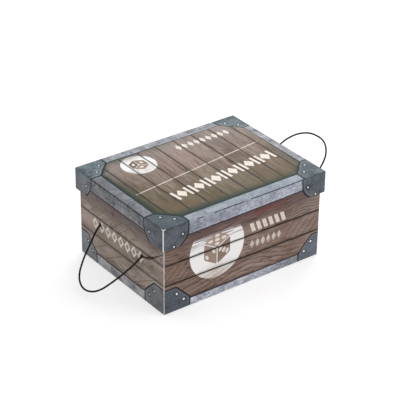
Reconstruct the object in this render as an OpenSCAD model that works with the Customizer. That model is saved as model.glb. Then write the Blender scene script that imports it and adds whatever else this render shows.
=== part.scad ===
// Lift-off-lid game box with two cord loop handles.
// Rigid greyboard tray and lid, each taped at its corners and wrapped in one printed sheet.
// Millimetres. +Z is up, +X runs along the long side, and the origin is the middle of the underside.

/* [Box] */
// Outer length of the lid, left to right
lid_length = 210; // [170:1:300]
// Outer width of the lid, front to back
lid_width = 160; // [130:1:240]
// Height of the closed box
box_height = 104; // [90:1:150]
// Depth of the lid's skirt, measured from the top face
skirt_depth = 25.5; // [20:0.5:36]

/* [Board and paper] */
// Thickness of the greyboard
board_t = 2; // [1.5:0.1:3]
// Thickness of the printed wrap paper
paper_t = 0.2; // [0.1:0.05:0.3]
// Gap on each side between the lid and the tray
lid_gap = 1; // [0.5:0.1:2]
// Outer radius of the scored folds round the lid's top and the tray's bottom
fold_r = 1.6; // [1:0.1:2.5]
// Outer radius of the wrapped vertical corners
corner_r = 0.8; // [0.5:0.1:1.5]
// How far the tray's wrap turns in over the rim
tray_turn_in = 18; // [10:1:30]
// How far the lid's wrap turns in over the rim
lid_turn_in = 15; // [8:1:16]

/* [Corner stays] */
// How far each paper stay reaches along the walls from its corner
stay_reach = 10; // [6:1:15]
// Thickness of the stay paper, pressed flush into the board
stay_t = 0.1; // [0.05:0.05:0.2]
// Distance from a stay's ends to the ends of the corner
stay_margin = 2.5; // [2.5:0.5:5]

/* [Cord handles] */
// Diameter of the cord
cord_d = 2; // [1.5:0.1:2.5]
// Clearance round the cord in its punched hole
cord_play = 0.5; // [0.2:0.1:1]
// Distance between the two holes in an end wall
hole_spacing = 77; // [60:1:100]
// Height of the holes above the table
hole_height = 52.5; // [50:0.5:60]
// Angle of the left loop below the horizontal
left_droop = 45; // [0:1:50]
// Angle of the right loop above the horizontal
right_rise = 33; // [0:1:75]
// Length of the cut tail behind each knot
tail_length = 6; // [3:0.5:12]
// Gap between a knot and the inside of the wall
knot_gap = 0.05; // [0.05:0.05:0.2]
// Gap between a loop's round end and the wall
swing_gap = 0.1; // [0.05:0.05:0.3]

/* [Hidden] */
$fn = 48;

cut = 1; // how far cutting shapes run past a face

// Tray, outside of its wrap. The lid's board rests on the tray's wrapped rim.
lid_wall = board_t + 2 * paper_t;
tray_length = lid_length - 2 * (lid_wall + lid_gap);
tray_width = lid_width - 2 * (lid_wall + lid_gap);
rim_z = box_height - paper_t - board_t;
skirt_z = box_height - skirt_depth;

// Cord holes and the axes that the loops swing on
hole_d = cord_d + 2 * cord_play;
wall_x = tray_length / 2;
wall_inner_x = wall_x - paper_t - board_t;
swing_x = wall_x + swing_gap + cord_d / 2;
knot_turns = 3; // a barrel stopper knot: the cord wound back round itself
knot_length = knot_turns * cord_d;
knot_x = wall_inner_x - knot_gap;

// Each loop's route in its own plane, between its two holes as seen when looking out from the box:
// [share of half the hole spacing, positive to the right, and reach from the swing axis in mm]
left_route = [
    [1, 0], [0.99, 3], [0.96, 8], [0.92, 14], [0.88, 20], [0.83, 27], [0.77, 35], [0.69, 43], [0.58, 51],
    [0.44, 57], [0.26, 61], [0.05, 62.5], [-0.16, 61], [-0.35, 57], [-0.5, 51], [-0.62, 43], [-0.72, 35],
    [-0.81, 27], [-0.88, 20], [-0.93, 14], [-0.97, 8], [-0.99, 3], [-1, 0]
];
right_route = [
    [1, 0], [1, 4], [0.99, 10], [0.975, 18], [0.95, 26], [0.91, 34], [0.86, 42], [0.79, 50],
    [0.69, 57.5], [0.54, 64], [0.36, 69], [0.14, 72], [-0.11, 72.5], [-0.36, 71], [-0.59, 66.5],
    [-0.76, 60], [-0.87, 52], [-0.92, 44], [-0.945, 36], [-0.96, 28], [-0.975, 20], [-0.985, 12],
    [-0.995, 5], [-1, 0]
];
route_steps = 2;     // rings between one route point and the next
cord_sides = 8;
dome_angles = [20, 55]; // rings of each rounded end, as angles from its tip

board_colour = "#a29a8e";
paper_colour = "#7d6553";
stay_colour = "#b08d62";
cord_colour = "#1d1f20";

// ---- shapes ----

// A rectangle with round corners, centred on the origin
module rounded_rect(size, r) {
    square([size[0] - 2 * r, size[1]], center = true);
    square([size[0], size[1] - 2 * r], center = true);
    for (x = [-1, 1], y = [-1, 1])
        translate([x * (size[0] / 2 - r), y * (size[1] / 2 - r)]) circle(r = r);
}

// The side view of a tray: its lower corners are round, its upper ones square
module fold_profile(width, height, r) {
    translate([-width / 2, r]) square([width, height - r]);
    translate([-width / 2 + r, 0]) square([width - 2 * r, height]);
    for (x = [-1, 1]) translate([x * (width / 2 - r), r]) circle(r = r);
}

// A block with round vertical corners and round edges at its bottom, standing on Z = 0
module folded_block(length, width, height, vertical_r, bottom_r) {
    intersection() {
        linear_extrude(height) rounded_rect([length, width], vertical_r);
        translate([0, width / 2 + cut, 0]) rotate([90, 0, 0])
            linear_extrude(width + 2 * cut) fold_profile(length, height, bottom_r);
        translate([-length / 2 - cut, 0, 0]) rotate([90, 0, 90])
            linear_extrude(length + 2 * cut) fold_profile(width, height, bottom_r);
    }
}

// The board of an open tray, from outside sizes that leave room for the wrap all round
module board_tray(length, width, height) {
    board_l = length - 2 * paper_t;
    board_w = width - 2 * paper_t;
    board_h = height - 2 * paper_t;
    difference() {
        translate([0, 0, paper_t])
            folded_block(board_l, board_w, board_h, corner_r - paper_t, fold_r - paper_t);
        translate([0, 0, paper_t + board_t + height / 2])
            cube([board_l - 2 * board_t, board_w - 2 * board_t, height], center = true);
        for (x = [-1, 1], y = [-1, 1]) stay(length, width, height, x, y);
    }
}

// One corner's paper stay, flush with the outside of the board
module stay(length, width, height, x, y) {
    board_l = length - 2 * paper_t;
    board_w = width - 2 * paper_t;
    inset = 2 * stay_t;
    translate([0, 0, stay_margin]) linear_extrude(height - 2 * stay_margin)
        intersection() {
            difference() {
                rounded_rect([board_l, board_w], corner_r - paper_t);
                rounded_rect([board_l - inset, board_w - inset], corner_r - paper_t - stay_t);
            }
            translate([x * board_l / 2, y * board_w / 2]) square(2 * stay_reach, center = true);
        }
}

// The wrap: a skin outside the board, folded over the rim and down inside it
module wrap_skin(length, width, height, turn_in) {
    opening_l = length - 4 * paper_t - 2 * board_t;
    opening_w = width - 4 * paper_t - 2 * board_t;
    difference() {
        folded_block(length, width, height, corner_r, fold_r);
        difference() {
            translate([0, 0, paper_t])
                folded_block(length - 2 * paper_t, width - 2 * paper_t, height - 2 * paper_t,
                             corner_r - paper_t, fold_r - paper_t);
            translate([0, 0, height - turn_in / 2])
                cube([opening_l + 2 * paper_t, opening_w + 2 * paper_t, turn_in], center = true);
        }
        translate([0, 0, height]) cube([opening_l, opening_w, 2 * turn_in + cut], center = true);
    }
}

// Places a tray shape upside down under the top of the closed box, as the lid
module as_lid() {
    translate([0, 0, box_height]) mirror([0, 0, 1]) children();
}

module cord_holes() {
    for (side = [-1, 1], y = [-1, 1])
        translate([side * wall_x, y * hole_spacing / 2, hole_height])
            rotate([0, 90, 0]) cylinder(d = hole_d, h = 4 * board_t, center = true);
}

// ---- cord loops ----

// A point between b and c on the smooth curve through a, b, c and d
function spline_point(a, b, c, d, t) =
    0.5 * (2 * b + (c - a) * t + (2 * a - 5 * b + 4 * c - d) * t * t + (3 * b - a - 3 * c + d) * t * t * t);

function spline(route) = [
    for (i = [0 : len(route) - 2], k = [0 : route_steps - 1])
        spline_point(route[max(i - 1, 0)], route[i], route[i + 1], route[min(i + 2, len(route) - 1)],
                     k / route_steps),
    route[len(route) - 1]
];

function unit(v) = v / norm(v);

// Direction of the curve at its point i
function heading(line, i) = unit(line[min(i + 1, len(line) - 1)] - line[max(i - 1, 0)]);

// One ring of the tube, in the loop's plane: p is its middle, t the cord's direction
function ring(p, t, r) = [
    for (k = [0 : cord_sides - 1])
        let (a = 360 * k / cord_sides, across = [-t[1], t[0]] * r * cos(a))
        [p[0] + across[0], p[1] + across[1], r * sin(a)]
];

// Rings that close a rounded end: side is -1 before the first point and 1 after the last
function dome(p, t, side) = [
    for (a = side < 0 ? dome_angles : [dome_angles[1], dome_angles[0]])
        ring(p + side * t * cord_d / 2 * cos(a), t, cord_d / 2 * sin(a))
];

// A cord swept along a flat curve, with round ends
module swept_cord(line) {
    last = len(line) - 1;
    rings = concat(
        dome(line[0], heading(line, 0), -1),
        [for (i = [0 : last]) ring(line[i], heading(line, i), cord_d / 2)],
        dome(line[last], heading(line, last), 1)
    );
    n = len(rings);
    sides = [
        for (i = [0 : n - 2], k = [0 : cord_sides - 1])
            let (a = i * cord_sides, b = (k + 1) % cord_sides)
            [a + k, a + cord_sides + k, a + cord_sides + b, a + b]
    ];
    first_cap = [for (k = [0 : cord_sides - 1]) k];
    last_cap = [for (k = [cord_sides - 1 : -1 : 0]) (n - 1) * cord_sides + k];
    polyhedron(points = [for (r = rings, p = r) p], faces = concat(sides, [first_cap, last_cap]));
}

// A loop in place at one end of the box: side is -1 on the left and 1 on the right
module cord_loop(side, route, rise) {
    line = spline([for (p = route) [p[0] * hole_spacing / 2, p[1]]]);
    color(cord_colour)
        translate([side * swing_x, 0, hole_height]) rotate([0, -side * rise, 0]) rotate([0, 0, -side * 90])
            swept_cord(line);
}

// The cord's straight stretches at one end of the box: through the wall, and the tails behind the knots
module cord_ends(side) {
    color(cord_colour) for (y = [-1, 1])
        translate([side * knot_x, y * hole_spacing / 2, hole_height]) rotate([0, side * 90, 0]) {
            cylinder(d = cord_d, h = wall_x - knot_x);
            translate([0, 0, -knot_length - tail_length]) cylinder(d = cord_d, h = tail_length);
        }
}

// A barrel knot against the inside of the wall: turns of the cord round its own core
module knot(side, y) {
    color(cord_colour)
        translate([side * knot_x, y * hole_spacing / 2, hole_height]) rotate([0, -side * 90, 0])
            rotate_extrude() {
                square([cord_d, knot_length]);
                for (k = [0 : knot_turns - 1]) translate([cord_d, (k + 0.5) * cord_d]) circle(d = cord_d);
            }
}

// ---- nodes ----

module tray_board() {
    color(board_colour) difference() {
        board_tray(tray_length, tray_width, rim_z);
        cord_holes();
    }
}

module tray_wrap() {
    color(paper_colour) difference() {
        wrap_skin(tray_length, tray_width, rim_z, tray_turn_in);
        cord_holes();
    }
}

module tray_stay(x, y) {
    color(stay_colour) stay(tray_length, tray_width, rim_z, x, y);
}

module lid_board() {
    color(board_colour) as_lid() board_tray(lid_length, lid_width, skirt_depth);
}

module lid_wrap() {
    color(paper_colour) as_lid() wrap_skin(lid_length, lid_width, skirt_depth, lid_turn_in);
}

module lid_stay(x, y) {
    color(stay_colour) as_lid() stay(lid_length, lid_width, skirt_depth, x, y);
}

tray_board();
tray_wrap();
tray_stay(-1, -1);  // tray_stay_front_left
tray_stay(1, -1);  // tray_stay_front_right
tray_stay(-1, 1);  // tray_stay_back_left
tray_stay(1, 1);  // tray_stay_back_right
lid_board();
lid_wrap();
lid_stay(-1, -1);  // lid_stay_front_left
lid_stay(1, -1);  // lid_stay_front_right
lid_stay(-1, 1);  // lid_stay_back_left
lid_stay(1, 1);  // lid_stay_back_right
cord_loop(-1, left_route, -left_droop);  // left_cord_loop
cord_ends(-1);  // left_cord_ends
knot(-1, -1);  // left_front_knot
knot(-1, 1);  // left_back_knot
cord_loop(1, right_route, right_rise);  // right_cord_loop
cord_ends(1);  // right_cord_ends
knot(1, -1);  // right_front_knot
knot(1, 1);  // right_back_knot
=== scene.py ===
import math

import bmesh
import bpy
import numpy as np
from mathutils import Matrix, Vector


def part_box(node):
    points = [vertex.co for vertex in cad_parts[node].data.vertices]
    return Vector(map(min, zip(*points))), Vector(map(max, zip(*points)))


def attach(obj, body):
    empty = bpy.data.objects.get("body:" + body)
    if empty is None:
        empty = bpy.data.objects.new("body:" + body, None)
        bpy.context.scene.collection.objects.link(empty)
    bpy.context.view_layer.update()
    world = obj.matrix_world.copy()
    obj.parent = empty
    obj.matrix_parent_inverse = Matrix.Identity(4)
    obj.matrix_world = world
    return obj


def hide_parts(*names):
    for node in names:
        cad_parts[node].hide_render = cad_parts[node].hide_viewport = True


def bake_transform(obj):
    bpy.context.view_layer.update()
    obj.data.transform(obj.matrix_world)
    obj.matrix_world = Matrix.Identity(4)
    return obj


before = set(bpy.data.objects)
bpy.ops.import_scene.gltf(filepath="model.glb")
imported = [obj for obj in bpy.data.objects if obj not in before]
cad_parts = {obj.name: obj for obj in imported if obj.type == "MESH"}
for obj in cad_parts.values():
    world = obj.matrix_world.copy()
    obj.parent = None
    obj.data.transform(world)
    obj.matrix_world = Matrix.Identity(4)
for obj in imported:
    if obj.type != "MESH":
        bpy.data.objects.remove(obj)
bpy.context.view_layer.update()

mm = 0.001
slant = 0.7071  # sine of 45 degrees

view = {
    "turn": -36.8838,  # degrees round the box from its front
    "rise": 29.8509,  # degrees above the table
    "roll": 0.6381,
    "away": 1.72922,  # metres from the aim
    "lens": 145.731,
    "sensor": 36,
    "clip": (0.05, 20),  # nearest and farthest that it sees
    "aim": (0, 0, 0.04725),
    "slide": (0.00016, 0.01644),  # metres to the right and up
}


# Turns and raises the camera round the aim and rolls it, then stands it back and slides it sideways
def placeCamera():
    turn, rise, roll = (math.radians(view[k]) for k in ("turn", "rise", "roll"))
    axes = Matrix.Rotation(turn, 4, "Z") @ Matrix.Rotation(math.pi / 2 - rise, 4, "X")
    off = Matrix.Translation((*view["slide"], view["away"]))
    camera = bpy.data.objects.new("Camera", bpy.data.cameras.new("Camera"))
    camera.matrix_world = Matrix.Translation(view["aim"]) @ axes @ Matrix.Rotation(roll, 4, "Z") @ off
    camera.data.lens = view["lens"]
    camera.data.sensor_width = view["sensor"]
    camera.data.clip_start, camera.data.clip_end = view["clip"]
    bpy.context.scene.collection.objects.link(camera)
    bpy.context.scene.camera = camera


placeCamera()
print("camera placed")


# Faces that join four neighbours in a grid of points, whose last column joins the first
def gridFaces(rows, columns):
    grid = np.arange(rows * columns).reshape(rows, columns)
    after = np.roll(grid, -1, 1)
    return np.stack([grid[:-1], after[:-1], after[1:], grid[1:]], -1).reshape(-1, 4)


# Angles of evenly spaced sides, as a row
def ringAngles(sides):
    return np.linspace(0, 2 * np.pi, sides, endpoint=False)[None, :]


# An object at the origin from arrays of points and faces, and of each face's material slot and UVs
def makeMesh(name, points, faces, slots=None, uv=None):
    mesh = bpy.data.meshes.new(name)
    mesh.from_pydata(points.reshape(-1, 3).tolist(), [], faces.tolist())
    if slots is not None:
        mesh.polygons.foreach_set("material_index", slots.astype(np.int32).ravel())
    if uv is not None:
        layer = mesh.uv_layers.new(name="UVMap")
        layer.data.foreach_set("uv", uv.astype(np.float32).ravel())
    obj = bpy.data.objects.new(name, mesh)
    bpy.context.scene.collection.objects.link(obj)
    return obj


# Joins points that lie together, turns the faces outwards, and shades smooth below the angle
def closeMesh(obj, sharp=40, merge=1e-6):
    work = bmesh.new()
    work.from_mesh(obj.data)
    bmesh.ops.remove_doubles(work, verts=work.verts, dist=merge)
    bmesh.ops.recalc_face_normals(work, faces=work.faces)
    work.to_mesh(obj.data)
    work.free()
    obj.data.polygons.foreach_set("use_smooth", np.ones(len(obj.data.polygons), bool))
    obj.data.set_sharp_from_angle(angle=math.radians(sharp))
    return obj


# Each vector divided by its own length
def unit(vectors):
    return vectors / np.maximum(np.linalg.norm(vectors, axis=-1, keepdims=True), 1e-12)


# How far each point is along the line: the sum of the distances from point to point
def lengthsAlong(line):
    return np.concatenate([[0], np.cumsum(np.linalg.norm(np.diff(line, axis=0), axis=1))])


# A smooth line through the points, step apart: between p1 and p2 it is the Catmull-Rom cubic of p0,
# p1, p2 and p3, sampled finely
def smoothLine(points, step, samples=24):
    p = np.asarray(points, float)
    p = np.vstack([2 * p[0] - p[1], p, 2 * p[-1] - p[-2]])
    t = np.linspace(0, 1, samples, endpoint=False)[None, :, None]
    p0, p1, p2, p3 = (p[k:len(p) - 3 + k, None, :] for k in range(4))
    cubic = p1 + 0.5 * t * (p2 - p0 + t * (2 * p0 - 5 * p1 + 4 * p2 - p3 + t * (3 * p1 - p0 - 3 * p2 + p3)))
    line = np.vstack([cubic.reshape(-1, 3), p[-2]])
    far = lengthsAlong(line)
    at = np.linspace(0, far[-1], int(round(far[-1] / step)) + 1)
    return np.stack([np.interp(at, far, line[:, k]) for k in range(3)], axis=1)


# Directions square to the line that don't turn round it: those square to a fixed guide, turned back
# by the sum of the angles that they slip from one point to the next
def carriedNormals(tangent, guide=(0.31, 0.52, 0.8)):
    n = unit(np.cross(tangent, guide))
    b = np.cross(tangent, n)
    slip = np.arctan2((n[:-1] * b[1:]).sum(1), (n[:-1] * n[1:]).sum(1))
    a = np.concatenate([[0], np.cumsum(slip)])[:, None]
    return n * np.cos(a) + b * np.sin(a)


cordLook = {
    "thick": 2 * mm,
    "sides": 32,
    "step": 0.4 * mm,  # between rings
    "strands": 8,  # braided strands that turn each way
    "lay": 7.5 * mm,  # length of one turn of a strand
    "relief": 0.05,  # depth of the braid as a share of the radius
    "domes": (0.25, 0.6, 0.85, 0.97, 1),  # steps that round off a cut end
    "dome": 0.6,  # length of the rounding as a share of the radius
    "repeat": 20 * mm,  # length of one turn of the UV map
    "hinge": 4.5 * mm,  # stretch that bends outside the hole when the loop swings
    "free": 3.5 * mm,  # reach beyond which the loop follows its route
    "past": 0.5 * mm,  # how far an end runs on inside the wall
}
holes = {
    "off": 38.5 * mm,  # from the wall's middle
    "height": 52.5 * mm,
    "wide": 3 * mm,
    "sides": 32,
    "punch": 5 * mm,  # the punch's reach each way from the outside
}
wall = {"outside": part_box("tray_wrap")[1].x, "thick": 2.2 * mm, "axis": 102.7 * mm}
wall["inside"] = wall["outside"] - wall["thick"]
# Each route's points are the share of the holes' off, and the reach from the hinge in metres
handles = {
    "left": {
        "side": -1,
        "rise": -45,  # degrees above the horizontal
        "route": [
            (1, 0), (0.99, 0.003), (0.96, 0.008), (0.92, 0.014), (0.88, 0.020), (0.83, 0.027), (0.77, 0.035),
            (0.69, 0.043), (0.58, 0.051), (0.44, 0.057), (0.26, 0.061), (0.05, 0.0625), (-0.16, 0.061),
            (-0.35, 0.057), (-0.5, 0.051), (-0.62, 0.043), (-0.72, 0.035), (-0.81, 0.027), (-0.88, 0.020),
            (-0.93, 0.014), (-0.97, 0.008), (-0.99, 0.003), (-1, 0),
        ],
    },
    "right": {
        "side": 1,
        "rise": 33,
        "route": [
            (1, 0), (1, 0.004), (0.99, 0.010), (0.975, 0.018), (0.95, 0.026), (0.91, 0.034), (0.86, 0.042),
            (0.79, 0.050), (0.69, 0.0575), (0.54, 0.064), (0.36, 0.069), (0.14, 0.072), (-0.11, 0.0725),
            (-0.36, 0.071), (-0.59, 0.0665), (-0.76, 0.060), (-0.87, 0.052), (-0.92, 0.044), (-0.945, 0.036),
            (-0.96, 0.028), (-0.975, 0.020), (-0.985, 0.012), (-0.995, 0.005), (-1, 0),
        ],
    },
}
knotLook = {
    "long": 6 * mm,
    "turns": 2.2,
    "winding": (2.35 * mm, 2.0 * mm),  # half widths of the turns' middle line
    "core": 0.75 * mm,  # from the middle to the two inner strands
    "end": 1.05 * mm,  # from the knot's end to its last turn's middle
    "start": 0.35,  # angle of the first turn, in radians
    "samples": 14,  # in each turn
    "gap": 0.05 * mm,  # to the wall
    "tail": 6 * mm,
    "step": 0.3 * mm,
}


# A tube round a line, with rounded ends. The ring at each point is c + R * (N cos a + B sin a), with N
# and B square to the line and R = r * (1 - relief * (1 - braid)), where braid is the higher of two
# sets of waves that wind round the cord one way and the other
def braidedTube(name, line, square=None):
    r, sides, strands = cordLook["thick"] / 2, cordLook["sides"], cordLook["strands"]
    tangent = unit(np.gradient(line, axis=0))
    if square is None:
        n = carriedNormals(tangent)
    else:
        n = unit(square - (tangent @ square)[:, None] * tangent)
    b = np.cross(tangent, n)
    s = lengthsAlong(line)
    a = ringAngles(sides)
    turn = 2 * np.pi * s[:, None] / cordLook["lay"]
    over = np.cos(strands * (a - turn) / 2) ** 2
    under = np.cos(strands * (a + turn) / 2) ** 2
    radius = r * (1 - cordLook["relief"] * (1 - np.maximum(over, under)))
    ring = n[:, None, :] * np.cos(a)[..., None] + b[:, None, :] * np.sin(a)[..., None]
    tube = line[:, None, :] + ring * radius[..., None]
    domes = np.array(cordLook["domes"])[:, None, None]
    start, end = -tangent[0] * r * cordLook["dome"], tangent[-1] * r * cordLook["dome"]
    first = line[0] + (tube[0] - line[0]) * np.sqrt(1 - domes**2) + start * domes
    last = line[-1] + (tube[-1] - line[-1]) * np.sqrt(1 - domes**2) + end * domes
    points = np.concatenate([first[::-1], tube, last])
    v = np.interp(np.arange(len(points)), np.arange(len(s)) + len(domes), s) / cordLook["repeat"]
    u = np.arange(sides + 1) / sides
    grid = np.stack(np.broadcast_arrays(u, v[:, None]), -1)
    uv = np.stack([grid[:-1, :-1], grid[:-1, 1:], grid[1:, 1:], grid[1:, :-1]], 2)
    obj = makeMesh(name, points, gridFaces(len(points), sides), uv=uv)
    return closeMesh(obj, sharp=80)


# The loop's plane tilts up by rise about the line through the holes. A point is the hinge, plus its
# share of off along Y, plus its reach along (side cos rise, 0, sin rise). The ends run straight
# through the wall
def loopLine(handle):
    side, rise = handle["side"], math.radians(handle["rise"])
    route = np.array(handle["route"])
    outward = (side * math.cos(rise), 0, math.sin(rise))
    hinge = (side * wall["axis"], 0, holes["height"])
    y = -side * route[:, :1] * holes["off"]
    clear = route[:, 1] > cordLook["free"]
    loop = (hinge + y * (0, 1, 0) + route[:, 1:] * outward)[clear]
    through = np.linspace(wall["inside"] - cordLook["past"], wall["outside"], 4)[:, None]
    ends = [through * (side, 0, 0) + (0, -side * k * holes["off"], holes["height"]) for k in (1, -1)]
    return smoothLine(np.vstack([ends[0], loop, ends[1][::-1]]), cordLook["step"])


# A barrel knot that stops the cord inside the wall. Measured inwards from the wall, the cord runs in
# beside the middle, turns back outside, winds towards the wall as a helix (x, a cos t, b sin t), and
# goes under its own turns to leave as the tail
def knotLine(side, y):
    k = knotLook
    core, (wide, high), long = k["core"], k["winding"], k["long"]
    t = k["start"] + np.linspace(0, 2 * np.pi * k["turns"], int(k["samples"] * k["turns"]))
    x = np.linspace(long - k["end"], k["end"], len(t))
    helix = np.stack([x, wide * np.cos(t), high * np.sin(t)], 1)
    into = [(0, 0, 0), (1.2 * mm, core * 0.8, 0), (3 * mm, core, 0),
            (long - 1.4 * mm, core * 1.1, -0.2 * mm), (long - 0.5 * mm, 1.5 * mm, -0.1 * mm)]
    under = [(1.3 * mm, 0.4 * mm, -1.6 * mm), (1.9 * mm, -0.6 * mm, -0.5 * mm), (3 * mm, -core, 0)]
    tail = [(long + share * k["tail"], -core * (1 - share), 0) for share in (0, 0.3, 0.65, 1)]
    line = smoothLine(np.vstack([into, helix, under, tail]), k["step"])
    return line * (-side, 1, 1) + (side * (wall["inside"] - k["gap"]), y, holes["height"])


cords = []
for name, handle in handles.items():
    line = loopLine(handle)
    side, rise = handle["side"], math.radians(handle["rise"])
    cord = braidedTube(name + "Cord", line, (-side * math.sin(rise), 0, math.cos(rise)))
    knots = []
    for where, way in (("Front", -1), ("Back", 1)):
        knot = braidedTube(name + where + "Knot", knotLine(side, way * holes["off"]))
        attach(knot, "tray")
        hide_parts(f"{name}_{where.lower()}_knot")
        knots.append(knot)
    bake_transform(cord)
    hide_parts(name + "_cord_loop", name + "_cord_ends")
    cords += [cord, *knots]


# A method that adds a Math node, with the wire as its first value or, reflected, as its last
def operator(kind, reflected=False):
    def method(wire, *others):
        return wire.nodes.calc(kind, *((*others, wire) if reflected else (wire, *others)))

    return method


# A socket of a material, on which Python's operators add Math nodes
class Wire:
    __add__, __radd__ = operator("ADD"), operator("ADD", True)
    __sub__, __rsub__ = operator("SUBTRACT"), operator("SUBTRACT", True)
    __mul__, __rmul__ = operator("MULTIPLY"), operator("MULTIPLY", True)
    __truediv__, __rtruediv__ = operator("DIVIDE"), operator("DIVIDE", True)
    __pow__, __abs__ = operator("POWER"), operator("ABSOLUTE")
    floor, fract, sign = operator("FLOOR"), operator("FRACT"), operator("SIGN")
    least, most, roundMost = operator("MINIMUM"), operator("MAXIMUM"), operator("SMOOTH_MAX")

    def __init__(self, nodes, socket):
        self.nodes, self.socket = nodes, socket

    def __neg__(self):
        return self * -1

    def out(self, name):
        return Wire(self.nodes, self.socket.node.outputs[name])

    def clamp(self):
        wire = self + 0
        wire.socket.node.use_clamp = True
        return wire


# Linear colour of an ink, given as printed values of 0 to 255: ((c / 255 + 0.055) / 1.055) ^ 2.4
def linear(ink):
    return [((c / 255 + 0.055) / 1.055) ** 2.4 for c in ink]


# The nodes of a new material or world. add() makes a shader node of any type, with its settings, and
# with the values, inks or links of its sockets
class Nodes:
    def __init__(self, name, kind=bpy.data.materials):
        self.owner = kind.new(name)
        self.owner.use_nodes = True
        self.tree = self.owner.node_tree
        self.tree.nodes.clear()

    def add(self, kind, settings=None, sockets=None, out=0):
        node = self.tree.nodes.new("ShaderNode" + kind)
        for key, value in (settings or {}).items():
            setattr(node, key, value)
        for key, value in (sockets or {}).items():
            if isinstance(value, Wire):
                self.tree.links.new(value.socket, node.inputs[key])
            elif isinstance(value, tuple):
                node.inputs[key].default_value = (*linear(value), 1)
            else:
                node.inputs[key].default_value = value
        return Wire(self, node.outputs[out]) if len(node.outputs) else node

    def calc(self, operation, *values):
        return self.add("Math", {"operation": operation}, dict(enumerate(values)))

    def vector(self, x, y, z):
        return self.add("CombineXYZ", {}, {0: x, 1: y, 2: z})

    # the object's own coordinates in millimetres, or another kind of coordinates
    def place(self, kind="Object", scale=1000):
        where = self.add("SeparateXYZ", {}, {0: self.add("TexCoord", out=kind)})
        return [where.out(axis) * scale for axis in "XYZ"]

    def noise(self, x, y, z, detail, rough=0.5, bend=0.0):
        sockets = {"Vector": self.vector(x, y, z), "Scale": 1, "Detail": detail, "Roughness": rough}
        return self.add("TexNoise", {}, {**sockets, "Distortion": bend})

    # noise of the same size each way
    def grit(self, place, size, detail, rough=0.5, bend=0.0):
        x, y, z = place
        return self.noise(x / size, y / size, z / size, detail, rough, bend)

    def random(self, value):
        return self.add("TexWhiteNoise", {"noise_dimensions": "1D"}, {"W": value})

    def mix(self, low, high, share):
        return self.add("Mix", {"data_type": "RGBA"}, {0: share, 6: low, 7: high}, out=2)

    # ends the nodes in a Principled surface
    def finish(self, colour, rough, height, depth, shine=0.5):
        bump = self.add("Bump", {}, {"Height": height, "Distance": depth, "Strength": 1})
        sockets = {"Base Color": colour, "Roughness": rough, "Normal": bump, "Specular IOR Level": shine}
        surface = self.add("BsdfPrincipled", {}, sockets)
        self.add("OutputMaterial", {}, {"Surface": surface})
        return self.owner


# 1 where the distance is below zero, with an edge of the given softness in millimetres
def inside(distance, soft=0.25):
    return (0.5 - distance / soft).clamp()


# 1 on a line of that width along distance zero
def stroke(distance, width, soft=0.25):
    return ((width / 2 - abs(distance)) / soft + 0.5).clamp()


# 1 at the first value and 0 at the second, in a straight line between
def fade(value, one, zero):
    return ((zero - value) / (zero - one)).clamp()


paper = {
    "white": (250, 248, 247),
    "paint": (240, 231, 220),
    "line": (34, 32, 36),
}
wood = {
    "grain": (54, 42, 38),
    "seam": (33, 26, 24),
    "swell": 18,  # width over which the drawn grain bends
}
rivetInk = (196, 198, 206)


# Planks: fine streaks along each one, mottling, and drawn grain, which is the contour lines of
# noise * swirl + across / rings. Returns the colour, the distance to the nearest gap and the streaks
def plankPrint(f, along, across, look):
    across = across + along * look["lean"]
    if look["pitch"]:
        k = (across - look["seam"]) / look["pitch"]
        chance = f.random(k.floor() + look["seed"])
        local = k.fract() * look["pitch"]
        gap = local.least(look["pitch"] - local)
    else:
        chance, gap = f.random(look["seed"]), None
    far = along + chance * 700
    streak = f.patch("streak", chance * 50, far, across)
    cloud = f.patch("cloud", chance * 30 + 9, far, across)
    broken = f.patch("broken", 3.3, far, across)
    bend = f.noise(far / look["bend"], across / wood["swell"], chance * 20 + 4, 1, 0.35)
    field = bend * look["swirl"] + across / look["rings"]
    ring = abs(field.fract() - 0.5) * look["rings"]
    drawn = fade(ring, 0.3, 1.0) * fade(broken, 0.72, 0.54)
    between = abs((field * 2 + 0.37).fract() - 0.5) * look["rings"] / 2
    fine = fade(between, 0.1, 0.6) * fade(broken, 0.42, 0.56)
    tone = ((streak - 0.5) * look["streaks"] + (cloud - 0.5) * 1.4 + (chance - 0.5) * 0.35 + 0.5).clamp()
    colour = f.mix(*look["inks"], tone)
    colour = f.mix(colour, wood["grain"], ((drawn + fine * 0.6) * look["grain"]).clamp())
    return colour, gap, streak


# A row of stencilled marks that repeat along s and lean with t: a bar is the greater of two distances
# and a diamond the sum of two shares. They can be hollow, or stand between posts
def markRow(u, v, row):
    row = {"shape": "diamond", "tilt": 0, "lean": 0, **row}
    tilt = math.radians(row["tilt"])
    x, y = u - row["at"][0], v - row["at"][1]
    s = x * math.cos(tilt) + y * math.sin(tilt)
    t = y * math.cos(tilt) - x * math.sin(tilt)
    k = (s + t * row["lean"]) / row["pitch"] + row["count"] / 2
    wide, high = row["size"]
    off = abs(k.fract() - 0.5) * row["pitch"]
    ends = (abs(k - row["count"] / 2) - row["count"] / 2) * row["pitch"]
    if row["shape"] == "diamond":
        mark = (off / wide + abs(t) / high - 0.5) * (wide * high / math.hypot(wide, high))
    else:
        mark = (off - wide / 2).most(abs(t) - high / 2)
    if "hollow" in row:
        mark = abs(mark + row["hollow"] / 2) - row["hollow"] / 2
    if "posts" in row:
        place, width, length = row["posts"]
        mark = mark.least((abs(off - place) - width / 2).most(abs(t) - length / 2))
    return inside(mark.most(ends))


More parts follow.
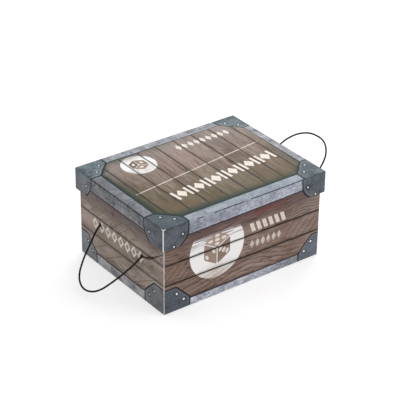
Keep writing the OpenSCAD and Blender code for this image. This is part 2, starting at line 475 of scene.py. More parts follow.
# A die seen from its corner, in a disc. Each face is a * ea + b * eb, with ea and eb at 120 degrees.
# p and q are a and b from its middle, and its pips are circles in them. Returns the disc, the die, its
# tone and the pips
def dieMark(x, y, mark):
    disc = (x * x + y * y) ** 0.5 - mark["radius"]
    side, off = mark["side"], mark["side"] / 4
    angles = [math.radians(a) for a in (30, 150, 270)]
    die, tones, pips = 0, 0, 0
    for i, (tone, count) in enumerate(mark["faces"]):
        ea, eb = angles[i], angles[(i + 1) % 3]
        cross = math.sin(eb - ea)
        p = (x * math.sin(eb) - y * math.cos(eb)) / cross - side / 2
        q = (y * math.cos(ea) - x * math.sin(ea)) / cross - side / 2
        face = inside(abs(p).roundMost(abs(q), side * 0.2) - side * 0.47, 0.3)
        middle = (p * p + q * q) ** 0.5
        if count == 5:
            spots = (((abs(p) - off) ** 2 + (abs(q) - off) ** 2) ** 0.5).least(middle)
        elif count == 1:
            spots = middle
        else:
            spots = (((abs(p + q) - off * 2) * slant) ** 2 + ((p - q) * slant) ** 2) ** 0.5
            if count == 3:
                spots = spots.least(middle)
        die = face + die
        tones = face * tone + tones
        pips = inside(spots - mark["pip"]) * face + pips
    return inside(disc), die.clamp(), tones, pips.clamp()


# Width, height, detail and roughness of the noises that make a print uneven
patches = {
    "wobble": (9, 9, 1),
    "jitter": (1.7, 1.7, 1),
    "cast": (45, 45, 2),
    "worn": (9, 1.3, 4, 0.7),
    "flaked": (3.2, 3.2, 3, 0.7),
    "scraped": (30, 1.6, 2),
    "brushed": (4, 2.4, 5, 0.66),
    "blotch": (14, 14, 3),
    "scratch": (12, 0.8, 3),
    "streak": (24, 1.25, 4, 0.7),
    "cloud": (40, 12, 2),
    "broken": (18, 4, 2),
}


# A face of a wrap, whose print is laid on in layers. Seen from outside, u runs to the right and v up,
# and along and across follow the planks. side is the distance to the nearer upright corner, or to the
# nearer end of a flat face, and edge the distance to the fold, or to a flat face's nearer long edge.
# slip is how far the drawing's right end runs out past its place, and tilt how the band's line climbs
class Face(Nodes):
    def __init__(self, name, look):
        super().__init__(name)
        self.look, self.flat, seed = look, look["face"] == "flat", look["seed"]
        self.where = x, y, z = self.place()
        if self.flat:
            u, v = x, y
        elif look["face"] == "long":
            u, v = -(x * y.sign()), z
        else:
            u, v = y * x.sign(), z
        self.u, self.v = u, v
        self.along, self.across = (v, u) if self.flat else (u, v)
        self.wobble = self.patch("wobble", seed * 3.1) - 0.5
        self.jitter = self.patch("jitter", seed * 1.7) - 0.5
        self.cast = self.patch("cast", seed + 5.5)
        self.worn = self.patch("worn", seed + 2.2, self.along, self.across)
        self.flaked = self.patch("flaked", seed + 8.1)
        self.side = look["half"][0] - abs(u)
        self.slipped = self.side + fade(u, 1, -1) * look.get("slip", 0)
        if self.flat:
            self.edge = look["half"][1] - abs(v)
            self.frameEdge = self.slipped.least(self.edge)
        else:
            self.edge = look["fold"] - v if look["hangs"] else v - look["fold"]
            self.frameEdge = self.edge + u * look.get("tilt", 0)

    # one of the noises, at a depth of its own
    def patch(self, kind, depth, *place):
        a, b = place or (self.u, self.v)
        wide, high, *grain = patches[kind]
        return self.noise(a / wide, b / high, depth, *grain)

    # lays an ink or a drawing over what is printed so far
    def lay(self, colour, share):
        self.colour = self.mix(self.colour, colour, share)

    # one layer with painted shade and light: darker or lighter towards a side, as light falls across the
    # face
    def shadedAndLit(self, colour, layer):
        ways = {"u": self.u, "v": self.v, "both": self.u + self.v}
        for on, way, reach, share, tint in self.look.get("shadeAndLight", []):
            if on == layer:
                depth = fade(ways[way], *reach) * (self.cast * 0.3 - 0.15 + share)
                colour = self.mix(colour, tint, depth.clamp())
        return colour


# The planks, with a patchy cast over them, and stains, which are soft ellipses
def layPlanks(f):
    look, wobble = f.look, f.wobble
    along, across = f.along + wobble * 3, f.across + wobble * 0.8
    f.colour, f.gap, f.streak = plankPrint(f, along, across, look["planks"])
    tint, share = look["cast"]
    f.lay(tint, fade(f.cast, 0.38, 0.62) * share)
    for at, half, share, tint in look.get("stains", []):
        a, b = (f.u - at[0]) / half[0], (f.v - at[1]) / half[1]
        f.lay(tint, fade((a * a + b * b) ** 0.5 + wobble, 0.2, 1) * share)
    f.colour = f.shadedAndLit(f.colour, "planks")


# Cracks: brown splits with a dark upper edge along v = y0 + t^1.4 * (y1 - y0), with t from 0 to 1
# between the ends, and widest at t = 0.3
def layCracks(f):
    for (x0, y0), (x1, y1), opening, tint in f.look.get("cracks", []):
        t = ((f.u - x0) / (x1 - x0)).clamp()
        off = f.v - t ** 1.4 * (y1 - y0) - y0 - f.wobble * 1.5
        wide = fade(abs(t - 0.3), 0, 0.45) * opening + 1.4 - t * 0.3
        begun = fade(f.u, x0, x0 - 0.3)
        f.lay(tint, inside(abs(off) - wide / 2, 0.5) * begun * 0.85)
        upper = inside(abs(off - wide * 0.35) - wide * 0.22, 0.4)
        f.lay(paper["line"], upper * begun * fade(t, 0.45, 1.2) * 0.9)


# Painted discs with a stained die, cleaner towards their top and sides and scraped below
def layDice(f):
    f.painted = 0
    for mark in f.look.get("dice", []):
        right, up = (f.u - mark["at"][0]) * mark["up"], (f.v - mark["at"][1]) * mark["up"]
        disc, die, tones, pips = dieMark(right + f.jitter * 0.2, up + f.jitter * 0.2, mark)
        below, radius = f.colour, mark["radius"]
        clean = (up * (1.1 / radius) + abs(right) * (0.5 / radius) + f.worn * 0.4 + 1.05).clamp()
        scraped = fade(f.patch("scraped", 2.7, f.along, f.across), 0.51, 0.58)
        scraped = scraped * fade(up, radius * 0.42, radius * 0.12) * mark["scraped"]
        f.lay(f.mix(mark["shade"], paper["white"], clean), disc * (mark["cover"] - scraped))
        f.painted = disc + f.painted
        stained = f.mix(*mark["stain"], (tones * 0.8 + f.streak * 0.5 - 0.2).clamp())
        f.lay(f.mix(below, stained, 0.85), die * disc)
        f.lay(paper["paint"], pips * disc * 0.9)


# Drawn grain: contour lines of up cos lean - right sin lean - rise * e^-(right / reach)^2 in a soft
# box, broken where the ink has flaked, and fainter over a disc
def layStrokes(f):
    for at, half, lean, pitch, rise, reach, share in f.look.get("strokes", []):
        lean = math.radians(lean)
        right, up = f.u - at[0], f.v - at[1]
        arch = f.calc("EXPONENT", -((right / reach) ** 2)) * rise
        line = up * math.cos(lean) - right * math.sin(lean) - arch + f.wobble * 2.2
        ring = abs((line / pitch).fract() - 0.5) * pitch
        far = abs(right / half[0]).most(abs(up / half[1]))
        drawn = fade(ring, 0.15, 0.9) * fade(far + f.jitter * 0.3, 0.75, 1) * fade(f.flaked, 0.54, 0.68)
        f.lay(wood["grain"], drawn * share * (1 - f.painted * 0.5))


# Stencilled paint, worn along the grain: rows of marks, and rules, which are straight strokes
def layPaint(f):
    wear = f.worn * 0.6 + f.flaked * 0.4
    for row in f.look.get("rows", []):
        mask = markRow(f.u + f.jitter * 0.25, f.v + f.wobble * 0.3, row)
        f.lay(paper["paint"], mask * fade(wear + row["wear"], 0.57, 0.66) * row["strength"])
    for (x0, y0), (x1, y1), width in f.look.get("rules", []):
        slope = (y1 - y0) / (x1 - x0)
        off = (f.v - y0 - (f.u - x0) * slope) / math.hypot(1, slope)
        reach = abs(f.u - (x0 + x1) / 2) - (x1 - x0) / 2
        mask = stroke(off + f.jitter * 0.3, width) * inside(reach, 1) * fade(f.worn, 0.60, 0.76)
        f.lay(paper["paint"], mask * 0.75)


# Gaps between planks: an ink line with a soft shade beside it
def layGaps(f):
    if f.gap is None:
        return
    planks = f.look["planks"]
    half = planks["gap"] / 2
    f.lay(wood["seam"], fade(f.gap + f.wobble, half, half + planks["soft"]) * 0.36)
    line = f.gap + f.wobble * 0.5 + f.jitter * 0.15
    f.lay(wood["seam"], fade(line, half, half + 0.3) * planks["depth"])


# Shade on the planks: round the frame, the print's drawn shade deepened with painted shade, and below the
# lid's rim a painted shadow of the rim. A flat face has more shade and heavier outlines towards its
# left and front, where lee is near 1
def layShade(f):
    look, wobble = f.look, f.wobble
    f.heavy = 1.25
    if f.flat:
        lee = ((f.u * -0.6 - f.v * 0.8) / look["half"][1] * 0.5 + 0.5).clamp()
        near = fade(f.frameEdge - look["band"] + wobble * 3, 0, 15) ** 2
        corner = fade((f.slipped + f.edge - look["plate"][2]) * slant + wobble * 3, 0, 10) ** 2
        f.lay(look["lee"], (near.most(corner) * (lee * 1.6 + 0.15)).clamp())
        f.heavy = lee * look["heavy"] + 0.9
    else:
        f.lay(look["lee"], fade(f.edge - look["band"] + wobble * 2, 0, 6) * 0.4)
        # painted shadow that the lid's rim casts on the planks below it
        if "rimShadow" in look:
            f.lay(look["lee"], fade(f.v + wobble, *look["rimShadow"]) * 0.5)


# The band: brushed, blotched and scratched metal with a bright rim, drawn creases and an outline
def layBand(f):
    look, wobble, seed = f.look, f.wobble, f.look["seed"]
    line = f.frameEdge + wobble * 0.8 - look["band"]
    f.brushed, f.blotch = f.patch("brushed", seed + 1.1), f.patch("blotch", seed + 3.9)
    sheet = f.mix(*look["metal"], (f.brushed * 2.6 + f.blotch * 2.0 - 1.8).clamp())
    scratch = f.patch("scratch", seed + 7.7)
    sheet = f.mix(sheet, paper["line"], fade(scratch, 0.70, 0.63) * 0.5)
    sheet = f.mix(sheet, rivetInk, fade(scratch, 0.28, 0.35) * 0.55)
    sheet = f.shadedAndLit(f.mix(sheet, rivetInk, fade(abs(line + 1.6), 0, 0.8) * 0.35), "band")
    for start, end in look.get("creases", []):
        reach = abs(f.u - (start + end) / 2) - (end - start) / 2
        mask = stroke(f.edge + wobble * 0.3 - look["crease"], 1.1) * inside(reach + wobble * 6, 1.5)
        sheet = f.mix(sheet, paper["line"], mask * fade(f.flaked, 0.66, 0.78))
    f.lay(sheet, inside(line, 0.3))
    f.lay(look["outline"], stroke(line, f.heavy, 0.5) * 0.92)


# Corner plates, cut off along side + edge = diagonal, with a bright rim and an outline, and rivets,
# each a dark ring, a disc and a glint
def layPlates(f):
    look, slipped, edge = f.look, f.slipped, f.edge
    wide, high, diagonal, rounding = look["plate"]
    drawnSide, drawnEdge = slipped + f.wobble * 0.9, edge + f.wobble * 0.9
    line = (drawnSide - wide).roundMost(drawnEdge - high, rounding)
    line = line.roundMost((drawnSide + drawnEdge - diagonal) * slant, rounding)
    plate = f.mix(*look["plateInks"], (f.blotch * 2.2 + f.brushed * 2.4 - 1.8).clamp())
    plate = f.shadedAndLit(f.mix(plate, rivetInk, fade(abs(line + 1.9), 0, 0.8) * 0.15), "plates")
    if "crease" in look:
        plate = f.mix(plate, look["outline"], stroke(edge + f.wobble * 0.5 - 0.9, 0.9, 1.2) * 0.7)
    f.lay(plate, inside(line, 0.3))
    f.lay(look["outline"], stroke(line, f.heavy * 0.6 + 0.85, 0.5) * 0.94)
    size = look.get("rivet", 1.25)
    for a, b in look["rivets"]:
        ring = ((slipped - a) ** 2 + (edge - b) ** 2) ** 0.5
        glint = ((slipped - a + 0.15) ** 2 + (edge - b - 0.2) ** 2) ** 0.5
        f.lay(paper["line"], fade(ring, size + 0.85, size + 1.55) * 0.8)
        f.lay(rivetInk, inside(ring - size, 0.4) * 0.6)
        f.lay(paper["white"], inside(glint - size + 0.4, 0.5))


# White paper where corners and folds are rubbed, most near the front left corner, and painted shade in a
# dark ring round each punched hole. Returns where the paper is bare
def layRub(f):
    look, side, edge = f.look, f.side, f.edge
    speck = f.grit(f.where, 1.4, 4, 0.7)
    knocked = fade(f.where[0], -70, 30) * fade(f.where[1], -50, 30)
    bare = inside(edge.least(side) - 0.42 + (speck - 0.36) * 2.6, 0.3) * 0.45
    if f.flat or look["hangs"]:
        corner = inside(edge.most(side) - 4.6 + speck * 2, 0.8)
        bare = bare.most(inside(edge.least(side) - 0.7) * corner * knocked)
    if not f.flat:
        rubbed = (f.grit(f.where, 9, 2) * 0.8 + 0.6) * (knocked * 0.7 + 0.3) * look["rub"]
        bare = bare.most(inside(side - rubbed + (speck - 0.5) * 0.5, 0.3))
    f.lay(paper["white"], bare)
    # painted shade round each punched hole, darkest at its edge
    if look.get("punched"):
        off, high = holes["off"] / mm, holes["height"] / mm
        ring = ((abs(f.u) - off) ** 2 + (f.v - high) ** 2) ** 0.5
        f.lay(paper["line"], fade(ring + speck, 2.4, 3.3) * 0.92)
    return bare


# A face's whole print, on paper that is rougher and lower where it is bare
def printedFace(name, look):
    f = Face(name, look)
    for layer in (layPlanks, layCracks, layDice, layStrokes, layPaint, layGaps, layShade, layBand,
                  layPlates):
        layer(f)
    bare = layRub(f)
    fibre = f.grit(f.where, 0.55, 3, 0.6)
    rough = 0.50 + (fibre - 0.5) * 0.10 + bare * 0.35
    height = fibre * 0.35 + f.grit(f.where, 7, 1) * 0.5 - bare * 0.4
    return f.finish(f.colour, rough, height, 0.06 * mm, 0.08)


lid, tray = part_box("lid_wrap")[1] / mm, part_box("tray_wrap")[1] / mm
bigDie = {
    "at": (-35, 57.5), "radius": 34.7, "side": 19.8, "up": 1, "faces": ((0.95, 5), (0.62, 2), (0.28, 3)),
    "pip": 2.5, "scraped": 0.75, "cover": 0.98, "shade": (196, 178, 164),
    "stain": ((124, 105, 94), (188, 166, 152)),
}
smallDie = {
    "at": (-47.6, 44.8), "radius": 19.7, "side": 11.6, "up": -1, "faces": ((0.85, 1), (0.5, 1), (0.12, 1)),
    "pip": 2.1, "scraped": 0.3, "cover": 0.92, "shade": (206, 198, 192),
    "stain": ((106, 90, 80), (176, 153, 137)),
}
topPlanks = {
    "pitch": 23.9, "seam": 12.9, "gap": 1.0, "soft": 1.9, "depth": 0.92, "seed": 3.0, "grain": 0.8,
    "bend": 80, "lean": 0, "swirl": 8, "rings": 3.8, "streaks": 3.8,
    "inks": ((100, 80, 68), (170, 151, 139)),
}
sidePlanks = {
    "pitch": 0, "seam": 0, "gap": 1.4, "soft": 2.6, "depth": 0.94, "seed": 5.0, "grain": 0.95,
    "bend": 66, "lean": 0, "swirl": 6.5, "rings": 6.4, "streaks": 2.6,
    "inks": ((116, 98, 90), (172, 151, 140)),
}
lidSide = {"fold": lid.z, "hangs": True, "rub": 0.75}
traySide = {"fold": 0.0, "hangs": False, "rub": 0.48, "outline": paper["line"]}
# In millimetres. A plate is its width, height, diagonal and rounding, and a rivet its place from the
# corner. A painted shading, darker or lighter towards a side, is its layer, way, ends, share and ink. A
# stain is its middle, half size, share and ink. A family of strokes is its middle, half size, lean in
# degrees, pitch, rise, reach and share. A rule is its ends and width, and a crack has an ink as well
lidTop = {
    "face": "flat", "seed": 1, "half": (lid.x, lid.y), "band": 12, "slip": 2, "heavy": 2.2,
    "plate": (31.5, 31.5, 43.5, 2), "rivets": [(22.5, 11.5), (12.6, 22.5)],
    "planks": topPlanks, "outline": (30, 44, 42),
    "cast": ((112, 104, 80), 0.2), "lee": (48, 62, 52),
    "stains": [((-58, -52), (34, 16), 0.45, (150, 112, 96)),
               ((64, -40), (26, 30), 0.3, (150, 118, 112)),
               ((-10, 30), (40, 26), 0.3, (140, 108, 92))],
    # painted shade and light: planks darker front and left, paler at the back as a painted sheen; band
    # darker left, paler and bluer at the front; plates darker towards the front left
    "shadeAndLight": [("planks", "v", (-76, 14), 0.8, (84, 76, 46)),
              ("planks", "u", (-100, -30), 0.42, (82, 78, 50)),
              ("planks", "v", (70, 10), 0.3, (186, 178, 182)),
              ("band", "u", (-100, -80), 0.5, (72, 80, 88)),
              ("band", "v", (-68, -40), 0.3, (150, 170, 190)),
              ("plates", "both", (-150, -60), 0.5, (58, 74, 82)),
              ("plates", "v", (-60, 50), 0.25, (66, 72, 76))],
    "metal": ((106, 109, 114), (178, 180, 186)),
    "plateInks": ((66, 80, 87), (122, 135, 142)),
    "dice": [smallDie],
    "rows": [
        {"at": (12.9, -24.7), "tilt": 6.4, "count": 6, "pitch": 23.9,
         "size": (12, 15.5), "posts": (8.7, 3.2, 16.7), "strength": 0.95, "wear": 0},
        {"at": (40.8, 51.4), "count": 9, "pitch": 7.967,
         "size": (6.4, 12.2), "strength": 0.85, "wear": 0.02},
    ],
    "rules": [((-86.7, -6.8), (86.7, 13.8), 1.3)],
}
lidLong = {
    **lidSide, "face": "long", "seed": 2, "half": (lid.x, 0), "band": 14.6, "tilt": 0.012,
    "plate": (31.5, 28.5, 47, 9), "rivets": [(24.2, 12.2), (13.3, 23.4)],
    "planks": {**sidePlanks, "inks": ((88, 73, 70), (132, 115, 111))},
    "outline": paper["line"], "cast": ((122, 62, 62), 0.12), "lee": (60, 44, 44),
    "stains": [((30, 85), (32, 7), 0.55, (118, 54, 54))],
    # painted shade: the band darker towards the left
    "shadeAndLight": [("band", "u", (-84, 0), 0.4, (100, 104, 116))],
    "metal": ((121, 124, 137), (192, 196, 210)),
    "creases": [(-63, -55), (-42, -3), (5, 74)], "crease": 1,
    "plateInks": ((74, 79, 85), (106, 111, 120)),
}
lidEnd = {
    **lidSide, "face": "end", "seed": 3, "half": (lid.y, 0), "band": 15.2, "slip": -3,
    "plate": (30.5, 28.5, 46, 9), "rivets": [(21.4, 13.1)],
    "planks": {**sidePlanks, "seed": 6, "inks": ((104, 94, 92), (147, 135, 131))},
    "outline": (48, 48, 46), "cast": ((108, 82, 78), 0.4), "lee": (56, 52, 52),
    # painted shade: the plates darker towards one side
    "shadeAndLight": [("plates", "u", (80, -40), 0.35, (52, 58, 62))],
    "metal": ((94, 95, 98), (150, 151, 155)), "creases": [(-80, 80)], "crease": 1.3,
    "plateInks": ((93, 97, 102), (134, 138, 144)),
}
trayLong = {
    **traySide, "face": "long", "seed": 4, "half": (tray.x, 0), "band": 10, "slip": 5.5,
    "tilt": -0.005, "plate": (32.6, 29, 44.2, 2), "rivets": [(16, 20.4), (24.8, 11.2)],
    "planks": {**sidePlanks, "pitch": 24, "seam": 9.5, "seed": 11, "lean": 0.008},
    "cast": ((128, 96, 78), 0.3), "lee": (66, 52, 48),
    # painted shade and light: planks darker near the top and lighter to the right, band darker to the right,
    # plates darker to the left
    "shadeAndLight": [("planks", "v", (80, 58), 0.6, (88, 70, 64)),
              ("planks", "u", (100, 30), 0.13, (190, 182, 180)),
              ("band", "u", (80, -20), 0.62, (94, 96, 104)),
              ("plates", "u", (-100, 60), 0.36, (44, 46, 50))],
    "metal": ((134, 136, 148), (229, 232, 243)), "rimShadow": (78, 73),
    "plateInks": ((90, 94, 104), (120, 126, 136)), "rivet": 1.6,
    "dice": [bigDie],
    "strokes": [((2, 21), (84, 12.5), 0, 5.6, 16, 44, 0.75),
                ((76, 65), (44, 9), 2, 3.5, 4, 13, 0.6),
                ((-92, 65), (24, 9), 1, 3.4, -3, 12, 0.6),
                ((84, 45), (32, 12), 48, 7.5, 0, 30, 0.6),
                ((-88, 45), (22, 12), 42, 6.5, 0, 30, 0.6)],
    "rows": [
        {"shape": "bar", "at": (31, 66), "count": 6, "pitch": 8, "size": (5, 10.5),
         "lean": 0.35, "strength": 0.78, "wear": 0.01},
        {"at": (28.5, 45.7), "count": 6, "pitch": 7.2, "size": (5.4, 10.8),
         "strength": 0.6, "wear": 0.04},
    ],
}
trayEnd = {
    **traySide, "face": "end", "seed": 5, "half": (tray.y, 0), "band": 12.8, "slip": -3.5,
    "plate": (30, 30.5, 44.5, 2), "rivets": [(13.8, 20.4), (22.2, 12.3)],
    "planks": {**sidePlanks, "pitch": 23, "seam": 12.4, "gap": 1, "depth": 0.7, "seed": 21,
               "grain": 0.85, "inks": ((141, 126, 118), (196, 181, 171))},
    "cast": ((122, 108, 90), 0.3), "lee": (60, 54, 50),
    # painted shade: the plates darker towards one side
    "shadeAndLight": [("plates", "u", (70, 20), 0.3, (56, 58, 54))],
    "metal": ((120, 119, 122), (190, 189, 192)), "rimShadow": (78, 66),
    "plateInks": ((116, 117, 121), (146, 149, 155)), "punched": True,
    "cracks": [((39.5, 52), (78, 74.5), 2.6, (78, 60, 46))],
    "strokes": [((52, 44), (34, 9), 0, 2.9, 2, 16, 0.5),
                ((0, 24), (76, 11), 30, 14, 0, 30, 0.5),
                ((-30, 66), (50, 8), 38, 9, 0, 30, 0.35)],
    "rows": [
        {"at": (-6, 50), "count": 8, "pitch": 11.9, "size": (11, 14.5),
         "hollow": 2.3, "strength": 0.8, "wear": -0.02},
    ],
}
trayBottom = {
    "face": "flat", "seed": 6, "half": (tray.x, tray.y), "band": 10.8, "heavy": 0.5,
    "plate": (31.5, 31.5, 43.5, 2), "rivets": [(24, 10), (14, 21)],
    "planks": {**topPlanks, "seed": 31, "inks": ((94, 78, 70), (140, 120, 108))},
    "outline": paper["line"], "cast": ((118, 112, 84), 0.3), "lee": (56, 60, 56),
    "metal": ((112, 114, 122), (156, 158, 166)),
    "plateInks": ((70, 76, 82), (104, 112, 118)),
}
faces = {"lidTop": lidTop, "lidLong": lidLong, "lidEnd": lidEnd,
         "trayLong": trayLong, "trayEnd": trayEnd, "trayBottom": trayBottom}


# The turned-in margin of a sheet: the plank print bled out without its drawing
def turnInPaper():
    n = Nodes("turnIn")
    x, y, z = n.place()
    streak = n.noise((x + y) / 20, z / 1.2, 4.0, 4, 0.6)
    fibre = n.grit((x, y, z), 0.55, 3)
    colour = n.mix((84, 68, 60), (128, 108, 96), (streak * 2 - 0.5).clamp())
    rough = 0.42 + (fibre - 0.5) * 0.1
    return n.finish(colour, rough, fibre * 0.4, 0.06 * mm, 0.42)


# The glued side of a sheet: white paper, a little greyer between its fibres
def plainPaper():
    n = Nodes("paperBack")
    fibre = n.grit(n.place(), 0.5, 3)
    colour = n.mix((214, 210, 202), (238, 236, 230), fibre)
    return n.finish(colour, 0.8 + fibre * 0.1, fibre, 0.05 * mm)


# Raw greyboard: grey pulp with darker and paler fibres pressed into it
def greyboard():
    n = Nodes("greyboard")
    where = n.place()
    pulp = n.grit(where, 6, 4, 0.65)
    fibre = n.grit(where, 0.7, 4, 0.75, 1.2)
    colour = n.mix((132, 126, 116), (172, 166, 154), (pulp * 2 - 0.5).clamp())
    colour = n.mix(colour, (96, 90, 82), fade(fibre, 0.36, 0.44) * 0.55)
    colour = n.mix(colour, (206, 200, 188), fade(n.grit(where, 0.45, 1), 0.74, 0.68) * 0.5)
    return n.finish(colour, 0.88 + fibre * 0.08, fibre * 0.8 + pulp * 0.4, 0.12 * mm)


# Gummed kraft paper: brown, with long pale fibres
def kraft():
    n = Nodes("kraft")
    x, y, z = n.place()
    fibre = n.noise((x + y) / 0.8, (x - y) / 0.8, z / 3.5, 4, 0.7)
    colour = n.mix((150, 112, 72), (196, 158, 112), (fibre * 2 - 0.5).clamp())
    return n.finish(colour, 0.65 + fibre * 0.1, fibre, 0.06 * mm)


# Braided sheath, with painted light: brightest where a strand of either way is on top. The UV map runs
# once round it, and once each repeat along it
def sheath():
    n = Nodes("sheath")
    u, v, _ = n.place("UV", 1)
    turns = v * (cordLook["repeat"] / cordLook["lay"])
    over = abs(((u - turns) * cordLook["strands"]).fract() - 0.5)
    under = abs(((u + turns) * cordLook["strands"]).fract() - 0.5)
    yarn = n.noise(u * 60, v * 90, 1.0, 3)
    # where a strand is on top: the braid's height, and its painted highlight
    lit = (over.most(under) * 2) ** 2
    colour = n.mix((8, 7, 8), (32, 31, 32), (lit * 0.7 + yarn * 0.4 - 0.1).clamp())
    return n.finish(colour, 0.62 + yarn * 0.2, lit + yarn * 0.5, 0.04 * mm, 0.22)


prints = {name: printedFace(name, look) for name, look in faces.items()}
prints["turnIn"], prints["paperBack"] = turnInPaper(), plainPaper()
boardMaterial, stayMaterial, cordMaterial = greyboard(), kraft(), sheath()
for piece in cords:
    piece.data.materials.append(cordMaterial)
for name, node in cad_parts.items():
    if "board" in name or "stay" in name:
        node.data.materials.clear()
        node.data.materials.append(boardMaterial if "board" in name else stayMaterial)
print("materials made", sum(len(m.node_tree.nodes) for m in prints.values()))


wrapLook = {
    "paper": 0.17 * mm,
    "fold": 1.6 * mm,
    "corner": 0.8 * mm,
    "tight": 0.05 * mm,  # the least radius of a corner
    "wall": 2.4 * mm,  # board with paper on both sides
    "rim": 0.6 * mm,  # rounding of the fold over the rim
    "flats": 28,  # steps along each wall
    "arcs": 6,  # steps round each corner
    "folds": 8,  # steps round each fold
    "spokes": 12,  # steps from the middle of the base
    "lifts": 16,  # steps up a wall
    "bow": 0.22 * mm,  # how far the paper stands off the middle of a wall
}


# Samples round a rectangle with round corners: the place of each on a unit rectangle, its outward
# direction and the wall that it belongs to. A sample's point is (a - r) * place + r * direction
def outline(flats, arcs):
    corners = np.array([(1, -1), (1, 1), (-1, 1), (-1, -1)], float)
    normals = np.array([(1, 0), (0, 1), (-1, 0), (0, -1)], float)
    t = (1 - np.cos(np.pi * np.arange(1, flats) / flats))[:, None] / 2
    bend = np.radians(np.linspace(0, 90, arcs + 1))[:, None]
    place, out, panel = [], [], []
    for k in range(4):
        after = (k + 1) % 4
        place += [corners[k] + (corners[after] - corners[k]) * t, corners[after] + 0 * bend]
        out += [normals[k] + 0 * t, normals[k] * np.cos(bend) + normals[after] * np.sin(bend)]
        panel += [k] * (flats - 1 + arcs // 2) + [after] * (arcs + 1 - arcs // 2)
    return np.vstack(place), np.vstack(out), np.array(panel)


# The sheet in section: out from the middle of the base, up the wall, over the rim, down inside, and
# back along its glued side. Each row is the inset from the outside, the height, the share of the way
# out, and the part: 0 base, 1 wall, 2 turned in, 3 glued side
def sheetPath(high, turnIn):
    w = wrapLook
    q = np.radians(np.linspace(0, 90, w["folds"] + 1))
    low, steep = np.split(q, [w["folds"] // 2 + 1])
    lift = (1 - np.cos(np.pi * np.arange(1, w["lifts"]) / w["lifts"])) / 2
    spokes = np.concatenate([[0], np.linspace(0.1, 0.98, w["spokes"])])
    rim, wall = w["rim"], w["wall"]

    def rows(inset, height, share, part):
        return np.stack(np.broadcast_arrays(inset, height, share, part), 1)

    def skin(inset, parts):
        bend, curl, fold = w["fold"] - inset, w["rim"] - inset, w["fold"]
        return np.vstack([
            rows(fold, inset, spokes, parts[0]),
            rows(fold - bend * np.sin(low), inset + bend * (1 - np.cos(low)), 1, parts[0]),
            rows(fold - bend * np.sin(steep), inset + bend * (1 - np.cos(steep)), 1, parts[1]),
            rows(inset, fold + (high - rim - fold) * lift, 1, parts[1]),
            rows(inset + curl * (1 - np.cos(q)), high - rim + curl * np.sin(q), 1, parts[1]),
            rows(wall - rim + curl * np.sin(q), high - rim + curl * np.cos(q), 1, parts[2]),
            rows(wall - inset, np.linspace(high - rim - 1 * mm, high - turnIn, 6), 1, parts[2]),
        ])

    return np.vstack([skin(0, (0, 1, 2)), skin(w["paper"], (3, 3, 3))[::-1]])


# Carries the section round the outline: a ring at inset d has half sizes a - d and b - d and corner
# radius r - d, and the base's rings shrink to its middle. A wall's paper bows out by
# bow * (1 - p^2) * sin(pi h / high), and the base's by crown * (1 - p^2) * (1 - q^2)
def wrapMesh(name, look):
    w = wrapLook
    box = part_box(name + "_wrap")
    long, wide, high = box[1] - box[0]
    path = sheetPath(high, look["turnIn"])
    place, out, panel = outline(w["flats"], w["arcs"])
    d, h, share, part = (path[:, k, None] for k in range(4))
    r = np.maximum(w["corner"] - d, w["tight"])
    x = (place[:, 0] * (long / 2 - d - r) + out[:, 0] * r) * share
    y = (place[:, 1] * (wide / 2 - d - r) + out[:, 1] * r) * share
    along = np.where(np.abs(out[:, 0]) > 0.5, place[:, 1], place[:, 0])
    straight = np.abs(out).max(1) > 0.999
    bow = w["bow"] * straight * (1 - along**2) * np.sin(np.pi * h / high) * (part == 1)
    x, y = x + bow * out[:, 0], y + bow * out[:, 1]
    crown = look["crown"] * (1 - (2 * x / long) ** 2) * (1 - (2 * y / wide) ** 2)
    z = h - crown * (part == 0) * (share < 1)
    z = box[1].z - z if look["flip"] else box[0].z + z
    points = np.stack([x, y, z], -1)
    rows, cols = points.shape[:2]
    slots = np.where(part[:-1] == 1, 1 + (panel % 2 == 0), part[:-1] + (part[:-1] > 1))
    obj = makeMesh(name + "Wrap", points, gridFaces(rows, cols), slots=slots)
    for key in (*look["faces"], "turnIn", "paperBack"):
        obj.data.materials.append(prints[key])
    return closeMesh(obj, sharp=35)


# Punches the cord holes through a wrap's end walls, with one cutter of four round pins
def punchHoles(obj):
    sides = holes["sides"]
    a = ringAngles(sides)
    size = np.array([0, 1, 1, 0])[:, None] * holes["wide"] / 2
    reach = np.array([-1, -1, 1, 1])[:, None] * holes["punch"]
    pins, pinFaces = [], []
    for side, way in ((-1, -1), (-1, 1), (1, -1), (1, 1)):
        x = side * wall["outside"] + reach + 0 * a
        y, z = way * holes["off"] + size * np.cos(a), holes["height"] + size * np.sin(a)
        pinFaces.append(gridFaces(4, sides) + 4 * sides * len(pins))
        pins.append(np.stack([x, y, z], -1).reshape(-1, 3))
    cutter = closeMesh(makeMesh("punch", np.vstack(pins), np.vstack(pinFaces)))
    cutter.data.materials.append(prints["paperBack"])
    cut = obj.modifiers.new("punch", "BOOLEAN")
    cut.operation, cut.solver, cut.object = "DIFFERENCE", "EXACT", cutter
    cut.material_mode = "TRANSFER"
    punched = bpy.data.meshes.new_from_object(obj.evaluated_get(bpy.context.evaluated_depsgraph_get()))
    obj.modifiers.clear()
    obj.data = punched
    bpy.data.objects.remove(cutter)


wraps = {
    "tray": {
        "faces": ("trayBottom", "trayLong", "trayEnd"), "turnIn": 18 * mm,
        "crown": 0, "flip": False, "punched": True,
    },
    "lid": {
        "faces": ("lidTop", "lidLong", "lidEnd"), "turnIn": 15 * mm,
        "crown": 0.3 * mm, "flip": True, "punched": False,
    },
}
for body, look in wraps.items():
    piece = wrapMesh(body, look)
    if look["punched"]:
        punchHoles(piece)
    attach(piece, body)
    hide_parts(body + "_wrap")
    print(body, "wrap", len(piece.data.polygons))


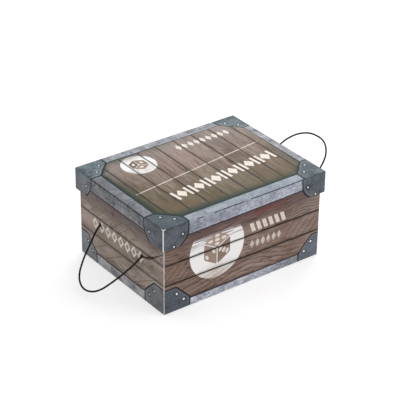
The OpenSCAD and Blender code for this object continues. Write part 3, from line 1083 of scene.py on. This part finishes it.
stage = {
    "floor": 3.0,  # its radius in metres
    "rings": (0, 0.2, 1),
    "sides": 96,
    "glow": 0.5,  # what the camera sees of the floor beyond its own light
    "colour": (208, 208, 208),
    "sky": 0.85,
    "lamps": [
        {"name": "key", "at": (0.55, 0.45, 0.60), "size": 0.5, "power": 2.6},
        {"name": "fill", "at": (0.75, -0.95, 0.55), "size": 0.7, "power": 3.8},
    ],
}


# A round floor that takes the light and the shadow, and glows a little to the camera
def makeFloor():
    n = Nodes("floor")
    seen = n.add("LightPath", out="Is Camera Ray")
    diffuse = n.add("BsdfDiffuse", {}, {"Color": stage["colour"]})
    glow = n.add("Emission", {}, {"Color": (255, 255, 255), "Strength": seen * stage["glow"]})
    both = n.add("AddShader", {}, {0: diffuse, 1: glow})
    n.add("OutputMaterial", {}, {"Surface": both})
    a = ringAngles(stage["sides"])
    size = np.array(stage["rings"])[:, None] * stage["floor"]
    points = np.stack([size * np.cos(a), size * np.sin(a), 0 * size * a], -1)
    floor = closeMesh(makeMesh("floor", points, gridFaces(*points.shape[:2])))
    floor.data.materials.append(n.owner)


# A white world to the camera and in reflections, softer as light: seen * (1 - sky) + sky
def makeWorld():
    n = Nodes("studio", bpy.data.worlds)
    bpy.context.scene.world = n.owner
    ray = n.add("LightPath", out="Is Camera Ray")
    seen = ray.most(ray.out("Is Glossy Ray")).most(ray.out("Is Transmission Ray"))
    strength = seen * (1 - stage["sky"]) + stage["sky"]
    back = n.add("Background", {}, {"Color": (255, 255, 255), "Strength": strength})
    n.add("OutputWorld", {}, {"Surface": back})


# Square lamps that face the origin
def makeLamps():
    for lamp in stage["lamps"]:
        data = bpy.data.lights.new(lamp["name"], "AREA")
        data.shape, data.size, data.energy = "SQUARE", lamp["size"], lamp["power"]
        light = bpy.data.objects.new(lamp["name"], data)
        light.location = lamp["at"]
        light.rotation_euler = light.location.to_track_quat("Z", "Y").to_euler()
        bpy.context.scene.collection.objects.link(light)


makeFloor()
makeWorld()
makeLamps()
bpy.context.scene.view_settings.view_transform = "Standard"
print("stage made")
